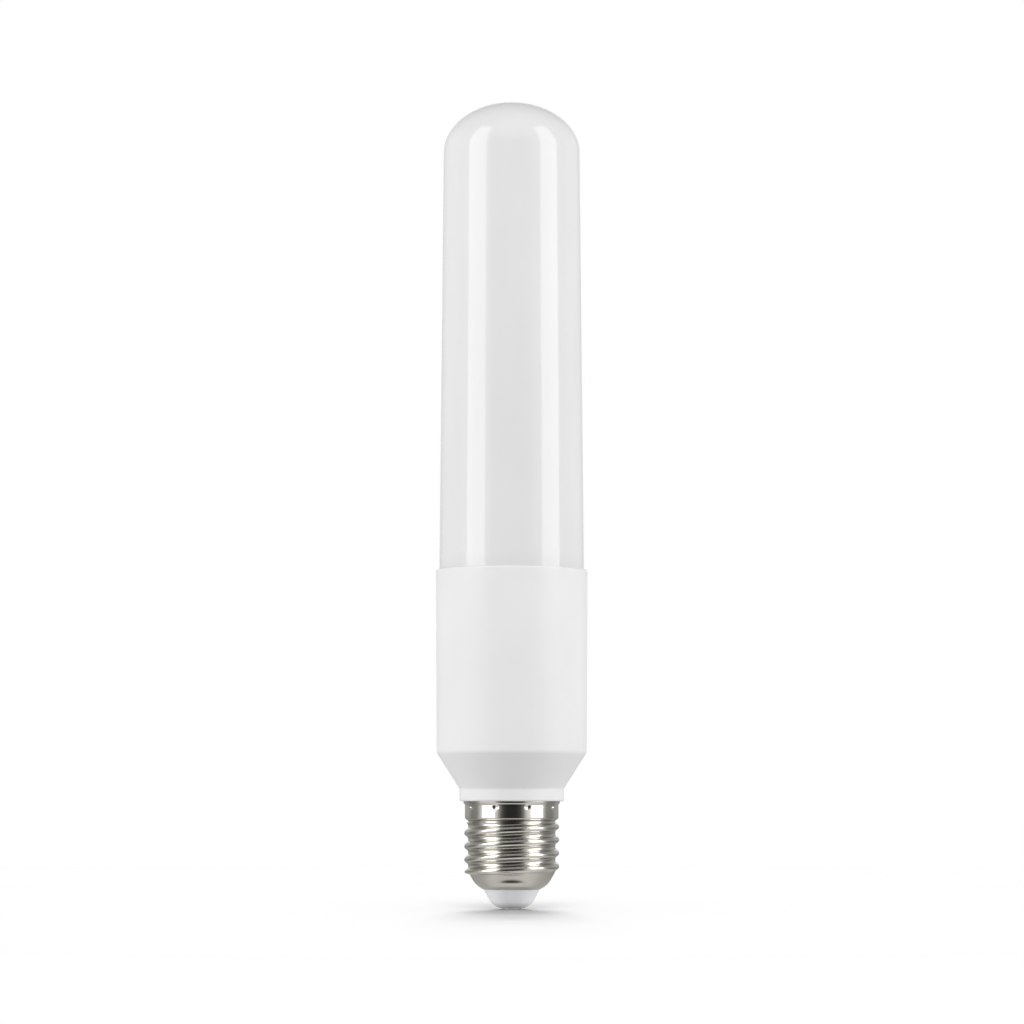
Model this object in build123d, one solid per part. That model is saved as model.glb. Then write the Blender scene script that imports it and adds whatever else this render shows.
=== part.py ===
from build123d import *
from math import atan2, degrees, hypot
import os

# Tubular lamp with an opal diffuser, a white housing and an E27 screw base
# Millimetres. The origin is the middle of the centre contact's face and +Z runs up the lamp's axis.
# The thread is turned here as rings at its pitch: its right-hand lead is too fine for the solid.

# Stretches of the lamp, one above the other from the contact's face
CONTACT_RISE = 0.35
NOSE_RISE = 5.1
SHELL_RISE = 24.2
NECK_BAND_RISE = 3.45
CONE_RISE = 9.9
BARREL_RISE = 50.4
TUBE_RISE = 116.6
DOME_RISE = 14.0

# Diffuser
TUBE_FOOT_D = 40.2
TUBE_TOP_D = 38.1
TUBE_WALL = 1.6
DOME_CORNER_R = 11.2
TUBE_SEAT_DEPTH = 8.0

# Housing
MOUTH_CLEARANCE = 0.15
RIM_WALL = 0.75
RIM_CHAMFER = 0.45
BARREL_WALL = 2.5
SHOULDER_CHAMFER = 0.5
CONE_WALL = 2.0
NECK_OVERHANG = 1.05
NECK_CHAMFER = 0.5
SPIGOT_WALL = 1.6
SPIGOT_CLEARANCE = 0.15

# Screw shell, rolled from sheet
SHEET = 0.3
THREAD_MAJOR_D = 26.2
THREAD_DEPTH = 1.1
THREAD_PITCH = 3.629
THREAD_TURNS = 4
CREST_FLAT = 0.7
CREST_RISE = 5.5
SKIRT_INSET = 0.17
SKIRT_RISE = 4.7
SKIRT_STEP_RISE = 0.7
LIP_FLARE = 0.42
LIP_RISE = 1.0
LIP_EDGE = 0.35
BOWL_RISE = 4.7
BOWL_CORNER_INSET = 1.45
BOWL_CORNER_RISE = 1.5
BOWL_CHAMFER = 0.9

# Insulator
NOSE_BASE_D = 15.4
NOSE_BEND_D = 11.2
NOSE_BEND_RISE = 1.25
NOSE_END_D = 7.2
NOSE_CLEARANCE = 0.1
FLANGE_INSET = 1.4
FLANGE_RISE = 1.4
FLANGE_GAP = 0.02

# Centre contact
LAND_D = 4.4
HEAD_INSET = 0.8
HEAD_EDGE = 0.15
PIN_D = 2.4
PIN_LENGTH = 6.4
PIN_CLEARANCE = 0.05

# Levels worked out from the stretches
SHELL_Z = CONTACT_RISE + NOSE_RISE
SHELL_TOP_Z = SHELL_Z + SHELL_RISE
NECK_TOP_Z = SHELL_TOP_Z + NECK_BAND_RISE
SHOULDER_Z = NECK_TOP_Z + CONE_RISE
RIM_Z = SHOULDER_Z + BARREL_RISE
DOME_Z = RIM_Z + TUBE_RISE
TOP_Z = DOME_Z + DOME_RISE
LEDGE_Z = RIM_Z - TUBE_SEAT_DEPTH
SKIRT_Z = SHELL_TOP_Z - SKIRT_RISE
BOWL_TOP_Z = SHELL_Z + BOWL_RISE
BOWL_CORNER_Z = SHELL_Z + BOWL_CORNER_RISE

# Radii that neighbours share
TUBE_FOOT_R = TUBE_FOOT_D / 2
CREST_R = THREAD_MAJOR_D / 2
ROOT_R = CREST_R - THREAD_DEPTH
SKIRT_R = CREST_R - SKIRT_INSET
LIP_R = SKIRT_R + LIP_FLARE
BOWL_CORNER_R = ROOT_R - BOWL_CORNER_INSET
NOSE_BASE_R = NOSE_BASE_D / 2
NOSE_END_R = NOSE_END_D / 2
HOLE_R = NOSE_BASE_R + NOSE_CLEARANCE
PIN_R = PIN_D / 2


def turned(*corners):
    """Solid turned about Z from the corners of its half section, given as (radius, height) in order."""
    return revolve(Plane.XZ * make_face(Polyline(*corners, close=True)), Axis.Z)


def dome_arcs(inset):
    """Two tangent arcs of the dome's half section, set in from its outside: the corner's and the crown's."""
    centre_r = TUBE_TOP_D / 2 - DOME_CORNER_R
    crown_r = (centre_r**2 + DOME_RISE**2 - DOME_CORNER_R**2) / (2 * (DOME_RISE - DOME_CORNER_R))
    crown_z = TOP_Z - crown_r
    join = degrees(atan2(DOME_Z - crown_z, centre_r))
    corner = CenterArc((centre_r, DOME_Z), DOME_CORNER_R - inset, 0, join)
    crown = CenterArc((0, crown_z), crown_r - inset, join, 90 - join)
    return [corner, crown]


def make_diffuser():
    """Drafted opal tube with a domed end, open at its foot."""
    top_r = TUBE_TOP_D / 2
    foot_bore_r = TUBE_FOOT_R - TUBE_WALL
    outside = Polyline((foot_bore_r, LEDGE_Z), (TUBE_FOOT_R, LEDGE_Z), (TUBE_FOOT_R, RIM_Z), (top_r, DOME_Z))
    bore = Polyline((top_r - TUBE_WALL, DOME_Z), (foot_bore_r, RIM_Z), (foot_bore_r, LEDGE_Z))
    top = Line((0, TOP_Z), (0, TOP_Z - TUBE_WALL))
    section = make_face(Curve() + [outside, *dome_arcs(0), top, *dome_arcs(TUBE_WALL), bore])
    return revolve(Plane.XZ * section, Axis.Z)


def make_housing():
    """Barrel, shoulder, cone and neck in one moulding, with a spigot that fills the shell's skirt."""
    mouth_r = TUBE_FOOT_R + MOUTH_CLEARANCE
    rim_r = mouth_r + RIM_WALL
    bore_r = rim_r - BARREL_WALL
    neck_r = LIP_R + NECK_OVERHANG
    spigot_r = SKIRT_R - SHEET - SPIGOT_CLEARANCE
    spigot_bore_r = spigot_r - SPIGOT_WALL
    spigot_z = SKIRT_Z + SHEET + SPIGOT_CLEARANCE
    cone_slope = CONE_RISE / (rim_r - neck_r)
    wall_shift = CONE_WALL * hypot(1, cone_slope)
    bore_z = SHOULDER_Z + wall_shift - (rim_r - bore_r) * cone_slope
    spigot_bore_z = SHOULDER_Z + wall_shift - (rim_r - spigot_bore_r) * cone_slope
    return turned(
        (mouth_r, RIM_Z),
        (rim_r - RIM_CHAMFER, RIM_Z),
        (rim_r, RIM_Z - RIM_CHAMFER),
        (rim_r, SHOULDER_Z + SHOULDER_CHAMFER),
        (rim_r - SHOULDER_CHAMFER / cone_slope, SHOULDER_Z - SHOULDER_CHAMFER),
        (neck_r, NECK_TOP_Z),
        (neck_r, SHELL_TOP_Z + NECK_CHAMFER),
        (neck_r - NECK_CHAMFER, SHELL_TOP_Z),
        (spigot_r, SHELL_TOP_Z),
        (spigot_r, spigot_z),
        (spigot_bore_r, spigot_z),
        (spigot_bore_r, spigot_bore_z),
        (bore_r, bore_z),
        (bore_r, LEDGE_Z),
        (mouth_r, LEDGE_Z),
    )


def thread_rings():
    """Corners of the thread's section from its lowest root to its highest: a flat crest on each pitch."""
    corners = []
    for turn in range(THREAD_TURNS):
        crest_z = SHELL_Z + CREST_RISE + turn * THREAD_PITCH
        corners += [
            (ROOT_R, crest_z - THREAD_PITCH / 2),
            (CREST_R, crest_z - CREST_FLAT / 2),
            (CREST_R, crest_z + CREST_FLAT / 2),
        ]
    return corners + [(ROOT_R, crest_z + THREAD_PITCH / 2)]


def make_screw_shell():
    """Sheet shell with a bowl, the thread's rings, a skirt and a flared lip round a plain inside."""
    bowl_slope = BOWL_CORNER_RISE / (BOWL_CORNER_R - HOLE_R)
    bowl_sheet = SHEET * hypot(1, bowl_slope)
    inner_corner_z = BOWL_CORNER_Z + bowl_sheet - SHEET * bowl_slope
    return turned(
        (HOLE_R, SHELL_Z),
        (BOWL_CORNER_R - BOWL_CHAMFER, BOWL_CORNER_Z - BOWL_CHAMFER * bowl_slope),
        (BOWL_CORNER_R + BOWL_CHAMFER / 2, BOWL_CORNER_Z + BOWL_CHAMFER),
        *thread_rings(),
        (ROOT_R, SKIRT_Z - SKIRT_STEP_RISE),
        (SKIRT_R, SKIRT_Z),
        (SKIRT_R, SHELL_TOP_Z - LIP_RISE),
        (LIP_R, SHELL_TOP_Z - LIP_EDGE),
        (LIP_R, SHELL_TOP_Z),
        (LIP_R - SHEET, SHELL_TOP_Z),
        (LIP_R - SHEET, SHELL_TOP_Z - LIP_EDGE),
        (SKIRT_R - SHEET, SHELL_TOP_Z - LIP_RISE),
        (SKIRT_R - SHEET, SKIRT_Z + SHEET),
        (ROOT_R - SHEET, SKIRT_Z + SHEET - SKIRT_STEP_RISE),
        (ROOT_R - SHEET, BOWL_TOP_Z + SHEET),
        (BOWL_CORNER_R - SHEET, inner_corner_z),
        (HOLE_R, SHELL_Z + bowl_sheet),
    )


def make_base_insulator():
    """Tapered nose through the shell's hole, with a flange seated on the inside of the bowl."""
    bowl_slope = BOWL_CORNER_RISE / (BOWL_CORNER_R - HOLE_R)
    seat_shift = SHEET * hypot(1, bowl_slope) + FLANGE_GAP
    flange_r = BOWL_CORNER_R - FLANGE_INSET
    flange_z = SHELL_Z + (flange_r - HOLE_R) * bowl_slope + seat_shift
    hole_r = PIN_R + PIN_CLEARANCE
    return turned(
        (hole_r, CONTACT_RISE),
        (NOSE_END_R, CONTACT_RISE),
        (NOSE_BEND_D / 2, CONTACT_RISE + NOSE_BEND_RISE),
        (NOSE_BASE_R, SHELL_Z),
        (NOSE_BASE_R, SHELL_Z + (NOSE_BASE_R - HOLE_R) * bowl_slope + seat_shift),
        (flange_r, flange_z),
        (flange_r, flange_z + FLANGE_RISE),
        (hole_r, flange_z + FLANGE_RISE),
    )


def make_centre_contact():
    """Contact head under the nose, with a flat land and the pin that holds it."""
    head_r = NOSE_END_R - HEAD_INSET
    return turned(
        (0, 0),
        (LAND_D / 2, 0),
        (head_r, CONTACT_RISE - HEAD_EDGE),
        (head_r, CONTACT_RISE),
        (PIN_R, CONTACT_RISE),
        (PIN_R, CONTACT_RISE + PIN_LENGTH),
        (0, CONTACT_RISE + PIN_LENGTH),
    )


os.makedirs("parts", exist_ok=True)
export_step(make_diffuser(), "parts/diffuser.step")
export_step(make_housing(), "parts/housing.step")
export_step(make_screw_shell(), "parts/screw_shell.step")
export_step(make_base_insulator(), "parts/base_insulator.step")
export_step(make_centre_contact(), "parts/centre_contact.step")
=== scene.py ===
from math import atan2, cos, hypot, pi, radians, sin, sqrt
import bmesh
import bpy
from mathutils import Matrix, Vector


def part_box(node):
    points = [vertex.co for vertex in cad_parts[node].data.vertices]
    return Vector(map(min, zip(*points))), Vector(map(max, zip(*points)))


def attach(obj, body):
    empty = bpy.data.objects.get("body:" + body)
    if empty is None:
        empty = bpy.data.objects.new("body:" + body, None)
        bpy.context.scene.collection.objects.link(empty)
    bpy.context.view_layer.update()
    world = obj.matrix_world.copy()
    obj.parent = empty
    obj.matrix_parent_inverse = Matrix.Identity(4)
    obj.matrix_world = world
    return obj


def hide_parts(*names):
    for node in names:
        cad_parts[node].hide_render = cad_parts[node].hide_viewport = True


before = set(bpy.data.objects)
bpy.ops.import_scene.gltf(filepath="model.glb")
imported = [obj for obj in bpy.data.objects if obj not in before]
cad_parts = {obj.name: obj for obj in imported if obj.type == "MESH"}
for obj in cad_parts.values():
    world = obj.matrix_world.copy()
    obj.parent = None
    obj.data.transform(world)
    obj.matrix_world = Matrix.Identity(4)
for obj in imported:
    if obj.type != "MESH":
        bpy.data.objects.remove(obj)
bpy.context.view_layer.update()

# Tubular lamp with an opal diffuser, a white housing and a screw base
# The lamp's radii and levels are in millimetres, levels from the contact's face. The studio is in metres.
MM = 0.001


def extent(node):
    """Radius, lowest level and highest level of a node of the frame."""
    low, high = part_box(node)
    return [round(value / MM, 3) for value in (high.x, low.z, high.z)]


# Extents that the frame gives
TUBE_FOOT_R, LEDGE_Z, TOP_Z = extent("diffuser")
RIM_R, SPIGOT_Z, RIM_Z = extent("housing")
LIP_R, SHELL_Z, SHELL_TOP_Z = extent("screw_shell")
FLANGE_R, NOSE_Z, FLANGE_TOP_Z = extent("base_insulator")
HEAD_R, CONTACT_Z, PIN_TOP_Z = extent("centre_contact")

# Screw shell, rolled from sheet
SHEET = 0.3
CREST_R = 13.1
THREAD_DEPTH = 1.1
SKIRT_INSET = 0.17
SKIRT_RISE = 4.7
STEP_RISE = 0.7
LIP_RISE = 1.0
LIP_EDGE = 0.35
SHELL_STEPS = 240
ROOT_R = CREST_R - THREAD_DEPTH
SKIRT_R = CREST_R - SKIRT_INSET
SKIRT_Z = SHELL_TOP_Z - SKIRT_RISE
STEP_Z = SKIRT_Z - STEP_RISE
LIP_START_Z = SHELL_TOP_Z - LIP_RISE
LIP_Z = SHELL_TOP_Z - LIP_EDGE

# Roundings where the shell's sheet bends
STEP_BEND = 0.2
SKIRT_BEND = 0.12
LIP_BEND = 0.15
LIP_CURL = 0.28
BEND_CUT = 0.1
BEND_SAG = 0.06
SHEET_EDGE = 0.08

# The shell's bowl: a curve drawn towards a corner, and another inside it
BOWL_RISE = 4.7
BOWL_BEND = 0.4
BOWL_CORNER_INSET = 1.88
BOWL_CORNER_RISE = 1.28
BOWL_CORNER_LIFT = 0.22
BOWL_END_INSET = 0.16
BOWL_END_DROP = 0.07
BOWL_SHEET = 0.25
BOWL_LEDGE = 0.2
BOWL_LEAN = 0.5
BOWL_WEIGHT = 2
BOWL_POINTS = 22
BOWL_INNER_POINTS = 12
BOWL_TOP_Z = SHELL_Z + BOWL_RISE
BOWL_CORNER_R = ROOT_R - BOWL_CORNER_INSET
BOWL_CORNER_Z = SHELL_Z + BOWL_CORNER_RISE

# Thread: bearings are in degrees from +X, and the crest that faces -Y is at the crest's level
PITCH = 3.629
CREST_RISE = 5.5
CREST_BEARING = -90
THREAD_LEAD = 1.55
THREAD_FADE = 0.6
THREAD_RUNOUT = 1.2
RUNOUT_BLEND = 0.25
ROOT_BLEND = 0.12
THREAD_ROW = 0.13
THREAD_ROWS = 119
CREST_Z = SHELL_Z + CREST_RISE
THREAD_LOW_Z = CREST_Z - THREAD_LEAD
THREAD_HIGH_Z = STEP_Z - STEP_BEND
THREAD_ROWS_Z = BOWL_TOP_Z - 1

# Crimps in the skirt
CRIMP_COUNT = 9
CRIMP_BEARING = -70
CRIMP_DROP = 0.65
CRIMP_R = 0.7
CRIMP_DEPTH = 0.36
CRIMP_ROW = 0.15
CRIMP_ROWS = 23
CRIMP_Z = LIP_START_Z - CRIMP_DROP
CRIMP_ROWS_Z = SKIRT_Z + 0.2

# Diffuser: its belts, as the housing's, are levels of extra rings in the mesh
TUBE_TOP_R = 19.05
TUBE_WALL = 1.6
DOME_RISE = 14.0
DOME_Z = TOP_Z - DOME_RISE
TUBE_BELTS = [90, 96, 130, 170, 205]
TUBE_STEPS = 160
DOME_STEPS = 96

# Housing
MOUTH_CLEARANCE = 0.15
BARREL_DRAFT = 0.3
BARREL_WALL = 2.5
CONE_RISE = 9.9
CONE_WALL = 2.0
NECK_BAND_RISE = 3.45
NECK_OVERHANG = 1.05
SPIGOT_CLEARANCE = 0.15
SPIGOT_WALL = 1.6
RIM_ROUNDING = 0.5
MOUTH_ROUNDING = 0.12
SHOULDER_ROUNDING = 0.5
NECK_TOP_ROUNDING = 0.35
NECK_FOOT_ROUNDING = 0.4
HOUSING_STEPS = 176
MOUTH_R = TUBE_FOOT_R + MOUTH_CLEARANCE
SHOULDER_R = RIM_R - BARREL_DRAFT
NECK_R = LIP_R + NECK_OVERHANG
NECK_TOP_Z = SHELL_TOP_Z + NECK_BAND_RISE
SHOULDER_Z = NECK_TOP_Z + CONE_RISE
HOUSING_BELTS = [
    RIM_Z - 0.8, RIM_Z - 3, SHOULDER_Z + 4, SHOULDER_Z + 1, SHOULDER_Z - 1,
    NECK_TOP_Z + 0.8, NECK_TOP_Z - 0.6, SHELL_TOP_Z + 0.6,
]

# Insulator nose and centre contact
NOSE_BASE_R = 7.7
NOSE_BEND_R = 5.6
NOSE_BEND_RISE = 1.25
NOSE_END_R = 3.6
NOSE_CLEARANCE = 0.1
NOSE_ROUNDING = 0.7
FLANGE_RISE = 1.4
LAND_R = 2.2
LAND_ROUNDING = 0.25
HEAD_EDGE = 0.15
HEAD_ROUNDING = 0.06
PIN_R = 1.2
PIN_CLEARANCE = 0.05
NOSE_STEPS = 128
CONTACT_STEPS = 96
HOLE_R = NOSE_BASE_R + NOSE_CLEARANCE
NOSE_BEND_Z = NOSE_Z + NOSE_BEND_RISE
NOSE_BELT_Z = SHELL_Z - 0.2
FLANGE_Z = FLANGE_TOP_Z - FLANGE_RISE
HEAD_EDGE_Z = NOSE_Z - HEAD_EDGE
PIN_HOLE_R = PIN_R + PIN_CLEARANCE

# Mesh tolerances, and the angle in degrees past which an edge is sharp
MERGE_GAP = 0.001
RING_GAP = 0.01
SHARP_ANGLE = 35

# Finishes: a list holds the two colours that a surface clouds between
OPAL = [(0.800, 0.800, 0.812, 1), (0.822, 0.822, 0.832, 1)]
# The opal's rim shade is painted shade: the tube is darker where it enters the housing's rim
OPAL_RIM_SHADE = (0.70, 0.70, 0.72, 1)
RIM_SHADE_RISE = 5
RIM_SHADE_SHARE = 0.36
HOUSING_WHITE = [(0.840, 0.840, 0.845, 1), (0.868, 0.868, 0.870, 1)]
NICKEL = [(0.700, 0.678, 0.632, 1), (0.780, 0.760, 0.716, 1)]
# The darker nickel colour serves both random stains and painted shade in the thread's roots
NICKEL_STAIN_AND_SHADE = (0.42, 0.395, 0.355, 1)
ROOT_SHADE_START = 0.2
ROOT_SHADE_END = 0.8
NOSE_WHITE = [(0.80, 0.80, 0.83, 1), (0.84, 0.84, 0.87, 1)]
CONTACT_PLATE = (0.72, 0.71, 0.68, 1)
CONTACT_SCUFF = (0.52, 0.50, 0.46, 1)
CLOUD_EDGES = (0.3, 0.7)
RING_SQUEEZE = 0.05

# Studio: grey levels by the share of the way round from the camera's side to the far side
LIGHTING_LEVELS = [
    (0.028, 0.01), (0.05, 0.05), (0.09, 0.95), (0.45, 1.0),
    (0.53, 0.5), (0.78, 0.36), (0.96, 0.22), (1.0, 0.7),
]
MIRROR_LEVELS = [
    (0.01, 0.02), (0.035, 0.05), (0.065, 0.18), (0.1, 0.6), (0.13, 0.7), (0.38, 0.75),
    (0.46, 0.45), (0.54, 0.22), (0.72, 0.22), (0.87, 0.36), (0.96, 0.3), (1.0, 0.7),
]
WARM_GREEN = 0.99
WARM_BLUE = 0.97
CEILING_EDGES = (0.3, 0.6)
CEILING_LIGHTING = 0.4
CEILING_MIRROR = 0.2
MIRROR_GAIN = 0.5
POLE_GUARD = 0.001

# Floor: a pair gives where a change starts and ends, by distance from the lamp's axis or by turn round it
FLOOR_R = 30
FLOOR_STEPS = 96
FLOOR_WHITE = 0.12
FLOOR_FADE = (0.3, 0.6)
FLOOR_GLOW = 0.69
FRONT_DIM = 0.36
FRONT_TURN = (0.5, 0.95)
CONTACT_SHADE = 0.12
CONTACT_SHADE_EDGES = (0.003, 0.0075)
AXIS_GUARD = 0.0001

# Floor as the metal mirrors it: tones near the lamp, painted shadow under it, and a painted dark spot of
# shadow before it that shows in the bowl as a reflection
UNDER_SHADOW_LEVEL = 0.4
UNDER_EDGES = (0.006, 0.009)
NEAR_FRONT_LEVEL = 0.74
NEAR_BACK_LEVEL = 0.5
NEAR_TURN = (-0.8, 0)
NEAR_EDGES = (0.02, 0.05)
SHADOW_SPOT_LEVEL = 0.01
SPOT_AWAY = 0.0136
SPOT_ACROSS = 140
SPOT_ALONG = 600
SPOT_EDGES = (0.5, 1.2)
SPOT_TURN = (0, 0.4)

# Lights: bearings are in degrees from the camera's side, positive to the right
MIDDLE = (0, 0, 0.12)
STRIP_PANEL = {"width": 0.7, "height": 2.0, "radiance": 2.6}
STRIP_BEARINGS = {"strip_left": -59, "strip_right": 65}
STRIP_AWAY = 1.2
STRIP_Z = 0.78
BACK_PANEL = {"width": 0.9, "height": 1.2, "radiance": 0.7}
BACK_BEARINGS = {"rim_left": -118, "rim_right": 118}
BACK_AWAY = 1.3
BACK_Z = 0.3
FRONT_PANEL = {"width": 1.2, "height": 1.2, "radiance": 0.88}
FRONT_AWAY = 1.6
FRONT_Z = 0.5

# Each sun's bearing, climb and spread in degrees, and its share of the floor's white
SUNS = {
    "sun_low": (180, 16, 20, 0.29),
    "sun_high": (180, 40, 30, 0.21),
    "sun_before": (0, 25, 30, 0.27),
    "sun_above": (0, 90, 60, 0.18),
}

# Camera
LENS = 131.06
SENSOR = 36
CAMERA_PLACE = (0.00008, -1.030, 0.03133)
CAMERA_TILT = 4.341
CLIP_START = 0.01
CLIP_END = 100


# Mesh helpers

def spun(outline, steps):
    """A closed outline of (radius, height) corners turned once round the lamp's axis."""
    bm = bmesh.new()
    corners = [bm.verts.new((radius * MM, 0, height * MM)) for radius, height in outline]
    edges = [bm.edges.new(pair) for pair in zip(corners, corners[1:] + corners[:1])]
    bmesh.ops.spin(
        bm, geom=corners + edges, cent=(0, 0, 0), axis=(0, 0, 1), angle=2 * pi, steps=steps, use_merge=True
    )
    bmesh.ops.remove_doubles(bm, verts=bm.verts, dist=MERGE_GAP * MM)
    bmesh.ops.dissolve_degenerate(bm, edges=bm.edges, dist=MERGE_GAP * MM)
    bmesh.ops.recalc_face_normals(bm, faces=bm.faces)
    return bm


def round_rings(bm, rings, segments):
    """Rounds the rings of edges at (radius, height), each by its own width."""
    for radius, height, width in rings:
        edges = [
            edge for edge in bm.edges
            if all(
                abs(hypot(vert.co.x, vert.co.y) - radius * MM) < RING_GAP * MM
                and abs(vert.co.z - height * MM) < RING_GAP * MM
                for vert in edge.verts
            )
        ]
        bmesh.ops.bevel(
            bm, geom=edges, offset=width * MM, segments=segments, profile=0.5, affect="EDGES", material=-1
        )


def belts(bm, heights):
    """Cuts level rings through the faces, to keep a rounding's shading beside it or to shape a wall."""
    for height in heights:
        bmesh.ops.bisect_plane(
            bm, geom=bm.verts[:] + bm.edges[:] + bm.faces[:], plane_co=(0, 0, height * MM), plane_no=(0, 0, 1)
        )


def rows(start, gap, count):
    """Evenly spaced levels from a start up."""
    return [start + gap * index for index in range(count)]


def finished(bm, name, material, node):
    """Turns a bmesh into a smooth-shaded piece that stands for a node of the frame."""
    mesh = bpy.data.meshes.new(name)
    bm.to_mesh(mesh)
    bm.free()
    mesh.polygons.foreach_set("use_smooth", [True] * len(mesh.polygons))
    mesh.set_sharp_from_angle(angle=radians(SHARP_ANGLE))
    mesh.materials.append(material)
    piece = bpy.data.objects.new(name, mesh)
    bpy.context.collection.objects.link(piece)
    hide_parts(node)
    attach(piece, "root")
    return piece


def soft_min(a, b, width):
    """Smaller of two values, with the corner between them rounded over a width."""
    blend = max(width - abs(a - b), 0) / width
    return min(a, b) - blend * blend * width / 4


def soft_max(a, b, width):
    """Larger of two values, with the corner between them rounded over a width."""
    return -soft_min(-a, -b, width)


# Shader helpers

class Socket:
    """A shader socket that takes part in Python expressions."""

    def __init__(self, tree, socket=None):
        self.tree = tree
        self.socket = socket

    def add(self, kind, settings=None, sockets=None, output=0):
        """Adds a node of a kind: its settings first, then the values or links of its sockets."""
        node = self.tree.nodes.new(kind)
        for name, value in (settings or {}).items():
            if name == "stops":
                ramp = node.color_ramp.elements
                while len(ramp) < len(value):
                    ramp.new(1)
                for element, (position, shade) in zip(ramp, value):
                    element.position = position
                    element.color = shade
            else:
                setattr(node, name, value)
        for name, value in (sockets or {}).items():
            if isinstance(value, Socket):
                self.tree.links.new(value.socket, node.inputs[name])
            else:
                node.inputs[name].default_value = value
        return Socket(self.tree, node.outputs[output] if node.outputs else None)

    def maths(self, operation, *values):
        return self.add("ShaderNodeMath", {"operation": operation}, dict(enumerate(values)))

    def __add__(self, other):
        return self.maths("ADD", self, other)

    __radd__ = __add__

    def __mul__(self, other):
        return self.maths("MULTIPLY", self, other)

    __rmul__ = __mul__

    def __sub__(self, other):
        return self.maths("SUBTRACT", self, other)

    def __rsub__(self, other):
        return self.maths("SUBTRACT", other, self)

    def __truediv__(self, other):
        return self.maths("DIVIDE", self, other)

    def ramp(self, stops):
        """Colour ramp over this value, from (position, colour) stops."""
        return self.add("ShaderNodeValToRGB", {"stops": stops}, {"Fac": self})

    def step(self, low, high):
        """0 below one value and 1 above another, eased between them."""
        return self.add(
            "ShaderNodeMapRange", {"interpolation_type": "SMOOTHSTEP"},
            {"Value": self, "From Min": low, "From Max": high},
        )

    def parts(self):
        """The three parts of a vector."""
        split = self.add("ShaderNodeSeparateXYZ", None, {"Vector": self})
        return [Socket(self.tree, output) for output in split.socket.node.outputs]

    def noise(self, scale, detail, stretch=(1, 1, 1)):
        """Noise over this vector, with so many features to the metre, stretched along the axes."""
        placed = self.add("ShaderNodeMapping", None, {"Vector": self, "Scale": stretch})
        return self.add("ShaderNodeTexNoise", None, {"Vector": placed, "Scale": scale, "Detail": detail})

    def mixed(self, low, high):
        """Colour between two colours, by this value. A Mix node's colour sockets go by number."""
        return self.add(
            "ShaderNodeMix", {"data_type": "RGBA"}, {"Factor": self, 6: low, 7: high}, output=2
        )

    def bump(self, strength, distance):
        """Normal of a surface that this value raises."""
        return self.add("ShaderNodeBump", None, {"Strength": strength, "Distance": distance, "Height": self})


def length(x, y):
    """Length of a flat vector from its two parts."""
    return x.maths("SQRT", x * x + y * y)


def ringed(place):
    """Place squeezed towards the lamp's axis, so that noise over it runs in rings."""
    x, y, z = place.parts()
    return place.add("ShaderNodeCombineXYZ", None, {"X": x * RING_SQUEEZE, "Y": y * RING_SQUEEZE, "Z": z})


def grey(level):
    """Neutral grey of a level."""
    return (level, level, level, 1)


def warm_grey(level):
    """Grey of a level, a hair warm."""
    return (level, level * WARM_GREEN, level * WARM_BLUE, 1)


# Finishes

def finish_of(name, build, **constants):
    """A material: its constants go straight on the shader, and build gives what varies over the surface."""
    material = bpy.data.materials.new(name)
    material.use_nodes = True
    tree = material.node_tree
    shader = tree.nodes["Principled BSDF"]
    for socket, value in constants.items():
        shader.inputs[socket].default_value = value
    place = Socket(tree).add("ShaderNodeTexCoord", output="Object")
    for socket, value in build(place).items():
        tree.links.new(value.socket, shader.inputs[socket])
    return material


def opal_plastic(place):
    """Opal moulding: cloudy by a hair, with painted shade where it enters the rim, and a faint ripple in its
    gloss.
    """
    cloud = place.noise(scale=55, detail=3, stretch=(1, 1, 0.35))
    ripple = place.noise(scale=170, detail=1, stretch=(1, 1, 0.08))
    speck = place.noise(scale=5200, detail=1)
    height = place.parts()[2]
    # Painted shade: the tube darkens towards the housing's rim
    rim_shade = 1 - height.step(RIM_Z * MM, (RIM_Z + RIM_SHADE_RISE) * MM)
    clear = cloud.step(*CLOUD_EDGES).mixed(*OPAL)
    colour = (rim_shade * RIM_SHADE_SHARE).mixed(clear, OPAL_RIM_SHADE)
    normal = (ripple * 0.6 + speck * 0.05).bump(strength=0.05, distance=0.0002)
    return {"Base Color": colour, "Roughness": 0.05 + 0.035 * cloud, "Normal": normal}


def white_plastic(place):
    """Housing moulding with a fine spark-eroded grain."""
    cloud = place.noise(scale=40, detail=3)
    grain = place.noise(scale=2600, detail=2)
    coarse = place.noise(scale=900, detail=1)
    colour = cloud.step(*CLOUD_EDGES).mixed(*HOUSING_WHITE)
    normal = (grain + 0.5 * coarse).bump(strength=0.22, distance=0.00004)
    return {"Base Color": colour, "Roughness": 0.40 + 0.1 * grain, "Normal": normal}


def nickel_plate(place):
    """Plated sheet with drawing lines round it, cloudy plating, random stains, and painted shade that darkens
    the thread's roots.
    """
    x, y, _ = place.parts()
    lines = ringed(place).noise(scale=5200, detail=3)
    cloud = place.noise(scale=230, detail=3)
    stain = place.noise(scale=320, detail=2, stretch=(1, 1, 1.6)).step(0.6, 0.8)
    # Painted shade: the thread's roots are mixed towards the darker colour
    root = 1 - length(x, y).step((ROOT_R + ROOT_SHADE_START) * MM, (ROOT_R + ROOT_SHADE_END) * MM)
    bright = cloud.step(0.3, 0.72).mixed(*NICKEL)
    colour = (root * 0.35 + stain * 0.14).mixed(bright, NICKEL_STAIN_AND_SHADE)
    rough = 0.08 + 0.07 * cloud + 0.04 * lines + 0.04 * root
    return {"Base Color": colour, "Roughness": rough, "Normal": lines.bump(strength=0.05, distance=0.00003)}


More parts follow.
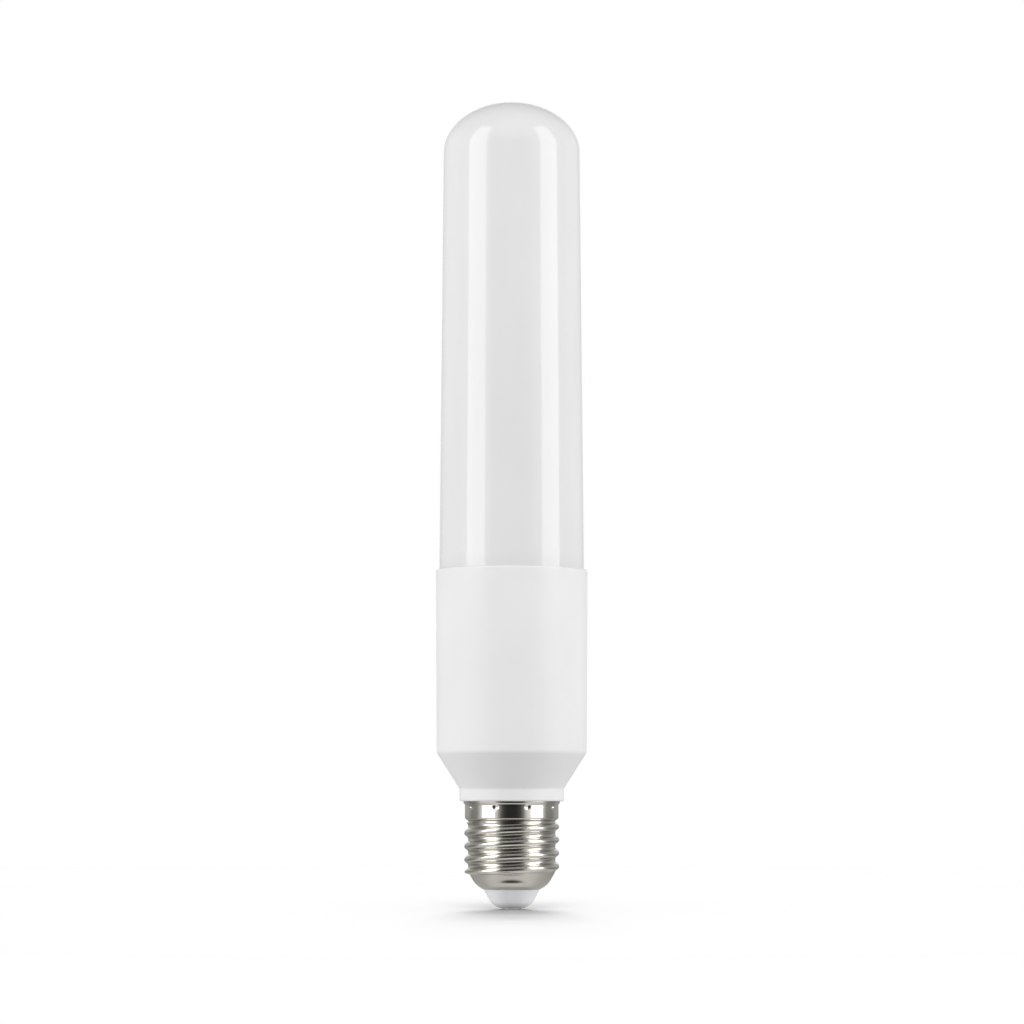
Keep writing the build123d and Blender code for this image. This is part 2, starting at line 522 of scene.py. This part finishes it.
def insulator_plastic(place):
    """White nose with faint rings from its mould."""
    rings = ringed(place).noise(scale=2600, detail=2)
    cloud = place.noise(scale=260, detail=3)
    colour = cloud.step(*CLOUD_EDGES).mixed(*NOSE_WHITE)
    normal = rings.bump(strength=0.15, distance=0.00004)
    return {"Base Color": colour, "Roughness": 0.3 + 0.14 * cloud, "Normal": normal}


def contact_metal(place):
    """Plated contact with turning marks round its middle and light scuffs."""
    x, y, _ = place.parts()
    across = place.add("ShaderNodeCombineXYZ", None, {"X": length(x, y)})
    marks = across.noise(scale=4200, detail=2)
    scuffs = place.noise(scale=1500, detail=3, stretch=(1, 0.2, 1)).step(0.56, 0.7)
    colour = scuffs.mixed(CONTACT_PLATE, CONTACT_SCUFF)
    normal = marks.bump(strength=0.2, distance=0.00003)
    return {"Base Color": colour, "Roughness": 0.2 + 0.16 * scuffs + 0.08 * marks, "Normal": normal}


# Pieces of the lamp

def make_diffuser():
    """Half a ball flattened into the dome, its rim drawn down into the tube, and a wall inside."""
    bm = bmesh.new()
    bmesh.ops.create_uvsphere(bm, u_segments=TUBE_STEPS, v_segments=DOME_STEPS, radius=1)
    ball = bm.verts[:] + bm.edges[:] + bm.faces[:]
    bmesh.ops.bisect_plane(bm, geom=ball, plane_co=(0, 0, 0), plane_no=(0, 0, 1), clear_inner=True)
    bmesh.ops.scale(bm, vec=(TUBE_TOP_R * MM, TUBE_TOP_R * MM, DOME_RISE * MM), verts=bm.verts)
    bmesh.ops.translate(bm, vec=(0, 0, DOME_Z * MM), verts=bm.verts)
    last_r = TUBE_TOP_R
    last_z = DOME_Z
    for radius, height in [(TUBE_FOOT_R, RIM_Z), (TUBE_FOOT_R, LEDGE_Z)]:
        rim = [edge for edge in bm.edges if edge.is_boundary]
        drawn = bmesh.ops.extrude_edge_only(bm, edges=rim)["geom"]
        lower = [item for item in drawn if isinstance(item, bmesh.types.BMVert)]
        bmesh.ops.scale(bm, vec=(radius / last_r, radius / last_r, 1), verts=lower)
        bmesh.ops.translate(bm, vec=(0, 0, (height - last_z) * MM), verts=lower)
        last_r = radius
        last_z = height
    bmesh.ops.recalc_face_normals(bm, faces=bm.faces)
    bmesh.ops.solidify(bm, geom=bm.faces[:], thickness=TUBE_WALL * MM)
    belts(bm, TUBE_BELTS)
    return finished(bm, "diffuser_tube", finish_of("opal", opal_plastic), "diffuser")


def make_housing():
    """Barrel, shoulder, cone and neck, hollow, with the spigot that goes into the shell."""
    bore_r = RIM_R - BARREL_WALL
    spigot_r = SKIRT_R - SHEET - SPIGOT_CLEARANCE
    spigot_bore_r = spigot_r - SPIGOT_WALL
    cone_slope = CONE_RISE / (RIM_R - NECK_R)
    inner_cone_z = SHOULDER_Z + CONE_WALL * hypot(1, cone_slope)
    bm = spun([
        (MOUTH_R, RIM_Z),
        (RIM_R, RIM_Z),
        (SHOULDER_R, SHOULDER_Z),
        (NECK_R, NECK_TOP_Z),
        (NECK_R, SHELL_TOP_Z),
        (spigot_r, SHELL_TOP_Z),
        (spigot_r, SPIGOT_Z),
        (spigot_bore_r, SPIGOT_Z),
        (spigot_bore_r, inner_cone_z - (RIM_R - spigot_bore_r) * cone_slope),
        (bore_r, inner_cone_z - (RIM_R - bore_r) * cone_slope),
        (bore_r, LEDGE_Z),
        (MOUTH_R, LEDGE_Z),
    ], HOUSING_STEPS)
    round_rings(bm, [
        (RIM_R, RIM_Z, RIM_ROUNDING),
        (MOUTH_R, RIM_Z, MOUTH_ROUNDING),
        (SHOULDER_R, SHOULDER_Z, SHOULDER_ROUNDING),
        (NECK_R, SHELL_TOP_Z, NECK_FOOT_ROUNDING),
        (NECK_R, NECK_TOP_Z, NECK_TOP_ROUNDING),
    ], segments=5)
    belts(bm, HOUSING_BELTS)
    return finished(bm, "housing_body", finish_of("housing_white", white_plastic), "housing")


def thread_rise(bearing, height):
    """How far the round thread stands off the shell's wall, fading out at both of its ends."""
    turns = (height - CREST_Z) / PITCH - (bearing - radians(CREST_BEARING)) / (2 * pi)
    beside = abs((turns + 0.5) % 1 - 0.5) * PITCH
    arc_r = ((PITCH / 4) ** 2 + (THREAD_DEPTH / 2) ** 2) / THREAD_DEPTH
    if beside < PITCH / 4:
        wave = THREAD_DEPTH - arc_r + sqrt(arc_r**2 - beside**2)
    else:
        wave = arc_r - sqrt(arc_r**2 - (PITCH / 2 - beside) ** 2)
    begun = min(max((height - THREAD_LOW_Z) / THREAD_FADE, 0), 1)
    risen = wave * begun * begun * (3 - 2 * begun)
    ending = THREAD_RUNOUT * (THREAD_HIGH_Z - height)
    return soft_max(soft_min(risen, ending, RUNOUT_BLEND), 0, ROOT_BLEND)


def crimp_depth(bearing, height):
    """How far the skirt is pushed in beside the nearest crimp."""
    turn = 2 * pi / CRIMP_COUNT
    away = (bearing - radians(CRIMP_BEARING) + turn / 2) % turn - turn / 2
    apart = hypot(away * SKIRT_R, height - CRIMP_Z) / CRIMP_R
    return CRIMP_DEPTH * max(1 - apart * apart, 0) ** 1.5


def sheet_middle(height):
    """Radius between the two sides of the shell's sheet below the skirt, which leans in down the bowl."""
    return ROOT_R - SHEET / 2 - BOWL_LEAN * max(BOWL_TOP_Z + BOWL_LEDGE - height, 0)


def bowl_curve(start, corner, end, count):
    """Points of a curve from start to end, drawn towards the corner."""
    points = []
    for index in range(count):
        late = index / (count - 1)
        shares = ((1 - late) ** 2, 2 * BOWL_WEIGHT * late * (1 - late), late**2)
        points.append([
            sum(share * spot[axis] for share, spot in zip(shares, (start, corner, end))) / sum(shares)
            for axis in (0, 1)
        ])
    return points


def make_screw_shell():
    """Turned sheet whose wall is pushed out into the thread and in at the crimps."""
    outer_bowl = bowl_curve(
        (HOLE_R, SHELL_Z),
        (BOWL_CORNER_R, BOWL_CORNER_Z),
        (ROOT_R - BOWL_END_INSET, BOWL_TOP_Z - BOWL_END_DROP),
        BOWL_POINTS,
    )
    inner_bowl = bowl_curve(
        (ROOT_R - SHEET - BOWL_LEDGE, BOWL_TOP_Z),
        (BOWL_CORNER_R - BOWL_SHEET, BOWL_CORNER_Z + BOWL_CORNER_LIFT),
        (HOLE_R, SHELL_Z + BOWL_SHEET),
        BOWL_INNER_POINTS,
    )
    bm = spun([
        *outer_bowl,
        (ROOT_R, BOWL_TOP_Z + BOWL_BEND),
        (ROOT_R, STEP_Z - STEP_BEND),
        (ROOT_R + BEND_SAG, STEP_Z),
        (SKIRT_R - BEND_CUT, SKIRT_Z - BEND_CUT),
        (SKIRT_R, SKIRT_Z + SKIRT_BEND),
        (SKIRT_R, LIP_START_Z - BEND_CUT),
        (SKIRT_R + BEND_SAG, LIP_START_Z + LIP_BEND),
        (LIP_R - BEND_CUT, LIP_Z - LIP_CURL),
        (LIP_R, LIP_Z),
        (LIP_R, SHELL_TOP_Z - SHEET_EDGE),
        (LIP_R - SHEET_EDGE, SHELL_TOP_Z),
        (LIP_R - SHEET, SHELL_TOP_Z),
        (LIP_R - SHEET, LIP_Z),
        (SKIRT_R - SHEET, LIP_START_Z),
        (SKIRT_R - SHEET, SKIRT_Z + SHEET),
        (ROOT_R - SHEET, STEP_Z + SHEET),
        (ROOT_R - SHEET, BOWL_TOP_Z),
        *inner_bowl,
    ], SHELL_STEPS)
    belts(bm, rows(THREAD_ROWS_Z, THREAD_ROW, THREAD_ROWS) + rows(CRIMP_ROWS_Z, CRIMP_ROW, CRIMP_ROWS))
    for vert in bm.verts:
        radius = hypot(vert.co.x, vert.co.y) / MM
        height = vert.co.z / MM
        bearing = atan2(vert.co.y, vert.co.x)
        moved = radius
        if height > SKIRT_Z:
            moved = radius - crimp_depth(bearing, height)
        elif height > THREAD_LOW_Z and radius > sheet_middle(height):
            moved = radius + thread_rise(bearing, height)
        vert.co.x *= moved / radius
        vert.co.y *= moved / radius
    bmesh.ops.recalc_face_normals(bm, faces=bm.faces)
    metal = finish_of("nickel", nickel_plate, Metallic=1.0)
    return finished(bm, "screw_shell_sheet", metal, "screw_shell")


def make_insulator():
    """White nose through the shell's hole, with its flange inside the bowl."""
    bm = spun([
        (PIN_HOLE_R, NOSE_Z),
        (NOSE_END_R, NOSE_Z),
        (NOSE_BEND_R, NOSE_BEND_Z),
        (NOSE_BASE_R, SHELL_Z),
        (NOSE_BASE_R, SHELL_Z + SHEET),
        (FLANGE_R, FLANGE_Z),
        (FLANGE_R, FLANGE_TOP_Z),
        (PIN_HOLE_R, FLANGE_TOP_Z),
    ], NOSE_STEPS)
    round_rings(bm, [
        (NOSE_END_R, NOSE_Z, NOSE_ROUNDING),
        (NOSE_BEND_R, NOSE_BEND_Z, NOSE_ROUNDING),
    ], segments=6)
    belts(bm, [NOSE_BELT_Z])
    nose = finish_of("nose_white", insulator_plastic)
    return finished(bm, "insulator_nose", nose, "base_insulator")


def make_contact():
    """Contact head with a flat land, on the pin that holds it in the nose."""
    bm = spun([
        (0, CONTACT_Z),
        (LAND_R, CONTACT_Z),
        (HEAD_R, HEAD_EDGE_Z),
        (HEAD_R, NOSE_Z),
        (PIN_R, NOSE_Z),
        (PIN_R, PIN_TOP_Z),
        (0, PIN_TOP_Z),
    ], CONTACT_STEPS)
    round_rings(bm, [
        (LAND_R, CONTACT_Z, LAND_ROUNDING),
        (HEAD_R, HEAD_EDGE_Z, HEAD_ROUNDING),
    ], segments=4)
    metal = finish_of("contact_plate", contact_metal, Metallic=1.0)
    return finished(bm, "contact_button", metal, "centre_contact")


# Studio: a floor, a surround that is dark towards the camera, and soft lights

def studio_shade(behind, levels):
    """Shade of the studio by turn, from the camera's side at -1 to straight behind the lamp at 1."""
    return (behind * 0.5 + 0.5).ramp([(share, warm_grey(level)) for share, level in levels])


def make_floor():
    """Pale floor: white with the lamp's shadow to the camera, and a glow of its own to the lamp."""
    bm = bmesh.new()
    bmesh.ops.create_circle(bm, cap_ends=True, segments=FLOOR_STEPS, radius=FLOOR_R)
    mesh = bpy.data.meshes.new("floor")
    bm.to_mesh(mesh)
    bm.free()
    material = bpy.data.materials.new("floor_white")
    material.use_nodes = True
    tree = material.node_tree
    tree.nodes.clear()
    start = Socket(tree)
    x, y, _ = start.add("ShaderNodeTexCoord", output="Object").parts()
    away = length(x, y)
    behind = y / (away + AXIS_GUARD)
    before = 0 - behind
    open_floor = (before.step(*FRONT_TURN) * FRONT_DIM).mixed(grey(FLOOR_GLOW), grey(0))
    lighting = away.step(*CONTACT_SHADE_EDGES).mixed(warm_grey(CONTACT_SHADE), open_floor)
    beside = behind.step(*NEAR_TURN).mixed(warm_grey(NEAR_FRONT_LEVEL), warm_grey(NEAR_BACK_LEVEL))
    # Painted shadow under the lamp, and a painted dark spot of shadow before it, in what the metal mirrors
    near = away.step(*UNDER_EDGES).mixed(warm_grey(UNDER_SHADOW_LEVEL), beside)
    spot_reach = length(x * SPOT_ACROSS, (away - SPOT_AWAY) * SPOT_ALONG)
    spot = (1 - spot_reach.step(*SPOT_EDGES)) * before.step(*SPOT_TURN)
    spotted = spot.mixed(near, grey(SHADOW_SPOT_LEVEL))
    mirror = away.step(*NEAR_EDGES).mixed(spotted, studio_shade(behind, MIRROR_LEVELS))
    mirrored = start.add("ShaderNodeLightPath", output="Is Glossy Ray")
    glow = start.add("ShaderNodeEmission", None, {"Color": mirrored.mixed(lighting, mirror)})
    cover = start.add("ShaderNodeBsdfDiffuse", None, {"Color": grey(FLOOR_WHITE)})
    white = start.add("ShaderNodeEmission", None, {"Color": grey(1)})
    shown = start.add("ShaderNodeMixShader", None, {0: away.step(*FLOOR_FADE), 1: cover, 2: white})
    seen = start.add("ShaderNodeLightPath", output="Is Camera Ray")
    both = start.add("ShaderNodeMixShader", None, {0: seen, 1: glow, 2: shown})
    start.add("ShaderNodeOutputMaterial", None, {"Surface": both})
    mesh.materials.append(material)
    floor = bpy.data.objects.new("floor", mesh)
    bpy.context.collection.objects.link(floor)
    return floor


def make_surround():
    """World that is white to the camera and a studio to the lamp, with levels of its own for reflections."""
    world = bpy.data.worlds.new("studio")
    bpy.context.scene.world = world
    world.use_nodes = True
    tree = world.node_tree
    tree.nodes.clear()
    start = Socket(tree)
    x, y, z = start.add("ShaderNodeTexCoord", output="Generated").parts()
    behind = y / (length(x, y) + POLE_GUARD)
    mirrored = start.add("ShaderNodeLightPath", output="Is Glossy Ray")
    walls = mirrored.mixed(studio_shade(behind, LIGHTING_LEVELS), studio_shade(behind, MIRROR_LEVELS))
    ceiling = mirrored.mixed(warm_grey(CEILING_LIGHTING), warm_grey(CEILING_MIRROR))
    studio = z.step(*CEILING_EDGES).mixed(walls, ceiling)
    seen = start.add("ShaderNodeLightPath", output="Is Camera Ray")
    seen_through = start.add("ShaderNodeLightPath", output="Is Transmission Ray")
    colour = start.maths("MAXIMUM", seen, seen_through).mixed(studio, grey(1))
    strength = 1 + MIRROR_GAIN * mirrored
    light = start.add("ShaderNodeBackground", None, {"Color": colour, "Strength": strength})
    start.add("ShaderNodeOutputWorld", None, {"Surface": light})


def grouped(name, items):
    """A collection of objects for a light to reach or to be blocked by."""
    group = bpy.data.collections.new(name)
    for item in items:
        group.objects.link(item)
    return group


def place_light(name, lamp, place, aim, lit, glossy=True):
    """Puts a light at a place, turned to its aim, on the objects that it is to light."""
    light = bpy.data.objects.new(name, lamp)
    light.location = place
    light.rotation_euler = (Vector(aim) - Vector(place)).to_track_quat("-Z", "Y").to_euler()
    light.visible_camera = False
    light.visible_glossy = glossy
    light.light_linking.receiver_collection = grouped(name + "_lit", lit)
    bpy.context.collection.objects.link(light)
    return light


def soft_panel(width, height, radiance):
    """Rectangular soft light, as bright as a surface of that radiance."""
    lamp = bpy.data.lights.new("panel", "AREA")
    lamp.shape = "RECTANGLE"
    lamp.size = width
    lamp.size_y = height
    lamp.energy = radiance * pi * width * height
    return lamp


def around(bearing, distance, height):
    """A place at a bearing from the camera's side."""
    return (distance * sin(radians(bearing)), -distance * cos(radians(bearing)), height)


def make_lights(pieces, floor):
    """Two strips beside the camera, two panels behind, one in front, and suns for the floor's soft shadow."""
    for name, bearing in STRIP_BEARINGS.items():
        place = around(bearing, STRIP_AWAY, STRIP_Z)
        place_light(name, soft_panel(**STRIP_PANEL), place, (0, 0, STRIP_Z), pieces)
    for name, bearing in BACK_BEARINGS.items():
        place = around(bearing, BACK_AWAY, BACK_Z)
        place_light(name, soft_panel(**BACK_PANEL), place, MIDDLE, pieces, glossy=False)
    place = around(0, FRONT_AWAY, FRONT_Z)
    place_light("front", soft_panel(**FRONT_PANEL), place, MIDDLE, pieces, glossy=False)
    screw_base = pieces[2:]
    for name, (bearing, climb, spread, share) in SUNS.items():
        sun = bpy.data.lights.new(name, "SUN")
        sun.energy = share * pi / FLOOR_WHITE / sin(radians(climb))
        sun.angle = radians(spread)
        place = around(bearing, cos(radians(climb)), sin(radians(climb)))
        light = place_light(name, sun, place, (0, 0, 0), [floor])
        light.light_linking.blocker_collection = grouped(name + "_blocked", screw_base)


def make_camera():
    """Camera at the photograph's place, a little above the floor and tilted up."""
    lens = bpy.data.cameras.new("camera")
    lens.lens = LENS
    lens.sensor_width = SENSOR
    lens.clip_start = CLIP_START
    lens.clip_end = CLIP_END
    camera = bpy.data.objects.new("camera", lens)
    camera.location = CAMERA_PLACE
    camera.rotation_euler = (radians(90 + CAMERA_TILT), 0, 0)
    bpy.context.collection.objects.link(camera)
    bpy.context.scene.camera = camera


pieces = [make_diffuser(), make_housing(), make_screw_shell(), make_insulator(), make_contact()]
make_lights(pieces, make_floor())
make_surround()
make_camera()
bpy.context.scene.view_settings.view_transform = "Standard"
